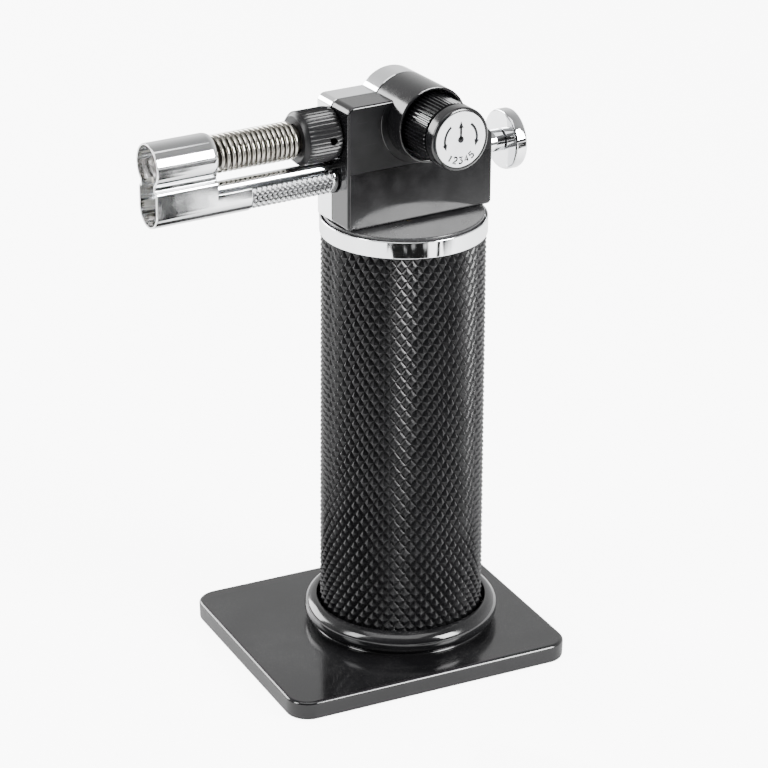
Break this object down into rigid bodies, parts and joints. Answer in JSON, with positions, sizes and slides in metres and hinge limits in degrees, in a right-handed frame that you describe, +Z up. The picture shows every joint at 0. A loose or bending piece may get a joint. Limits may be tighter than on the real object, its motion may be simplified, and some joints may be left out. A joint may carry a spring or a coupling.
{
  "type": "gas torch",
  "caption": "Refillable pocket gas torch with knurled grip, side nozzle with flame guard, gas knob and push igniter, standing in a weighted table stand.",
  "frame": {"origin": "on the handle's axis, on the flat underside of the stand's pad", "axes": "+Z up along the handle, -X out of the nozzle, -Y out of the gas knob"},
  "size_m": [0.0964, 0.0658, 0.1407],
  "materials": {
    "black_plastic": "glossy moulded black",
    "black_rubber": "matt foam rubber",
    "black_anodised": "black anodised, knurled",
    "chrome": "bright plating",
    "steel": "bright spring steel",
    "brass": "machined",
    "tank_plastic": "natural acetal",
    "seal_rubber": "smooth",
    "ceramic": "glazed",
    "label": "printed film",
    "red_wire": "silicone sleeve"
  },
  "bodies": {
    "stand": {"stand_base": "black_plastic", "stand_pad": "black_rubber"},
    "foot": {"foot_ring": "chrome"},
    "torch": {"foot_plate": "black_plastic", "grip_sleeve": "black_anodised", "collar_ring": "chrome", "head_deck": "black_plastic", "fuel_tank": "tank_plastic", "tank_cap": "tank_plastic", "tank_seal": "seal_rubber", "fill_valve_body": "brass", "fill_valve_seal": "seal_rubber", "fill_valve_spring": "steel", "gas_valve_body": "brass", "pickup_tube": "tank_plastic", "neck_nut": "brass", "side_cover": "black_plastic", "back_cover": "chrome", "cover_screw_front": "steel", "cover_screw_rear": "steel", "cover_screw_top": "steel", "burner_tube": "chrome", "gas_jet": "brass", "burner_tip": "steel", "cooling_spring": "steel", "flame_guard": "chrome", "guard_arm": "chrome", "igniter_conduit": "chrome", "electrode_insulator": "ceramic", "electrode_pin": "steel", "piezo_igniter": "black_plastic", "igniter_spring": "steel", "igniter_wire": "red_wire"},
    "knob": {"gas_knob": "black_plastic", "knob_label": "label", "valve_spindle": "brass", "valve_o_ring": "seal_rubber", "valve_needle": "steel"},
    "button": {"igniter_button": "chrome", "igniter_plunger": "chrome"},
    "air_ring": {"air_collar": "black_plastic"},
    "fill_stem": {"fill_valve_stem": "brass"}
  },
  "joints": [
    {"name": "lift_out", "type": "slide", "parent": "stand", "child": "foot", "axis": [0, 0, 1], "range_m": [0, 0.06]},
    {"name": "turn_in_stand", "type": "hinge", "parent": "foot", "child": "torch", "pos_m": [0, 0, 0.0033], "axis": [0, 0, 1], "continuous": true},
    {"name": "gas_turn", "type": "hinge", "parent": "torch", "child": "knob", "pos_m": [-0.0003, -0.0073, 0.132], "axis": [0, -1, 0], "range_deg": [-120, 120]},
    {"name": "igniter_press", "type": "slide", "parent": "torch", "child": "button", "axis": [-1, 0, 0], "range_m": [0, 0.004], "stiffness_N_per_m": 600, "springref_m": -0.002, "deforming": ["igniter_spring"]},
    {"name": "air_turn", "type": "hinge", "parent": "torch", "child": "air_ring", "pos_m": [-0.0193, 0, 0.1298], "axis": [-1, 0, 0], "range_deg": [0, 90]},
    {"name": "fill_press", "type": "slide", "parent": "torch", "child": "fill_stem", "axis": [0, 0, 1], "range_m": [0, 0.0012], "stiffness_N_per_m": 400, "springref_m": -0.001, "deforming": ["fill_valve_spring"]}
  ]
}
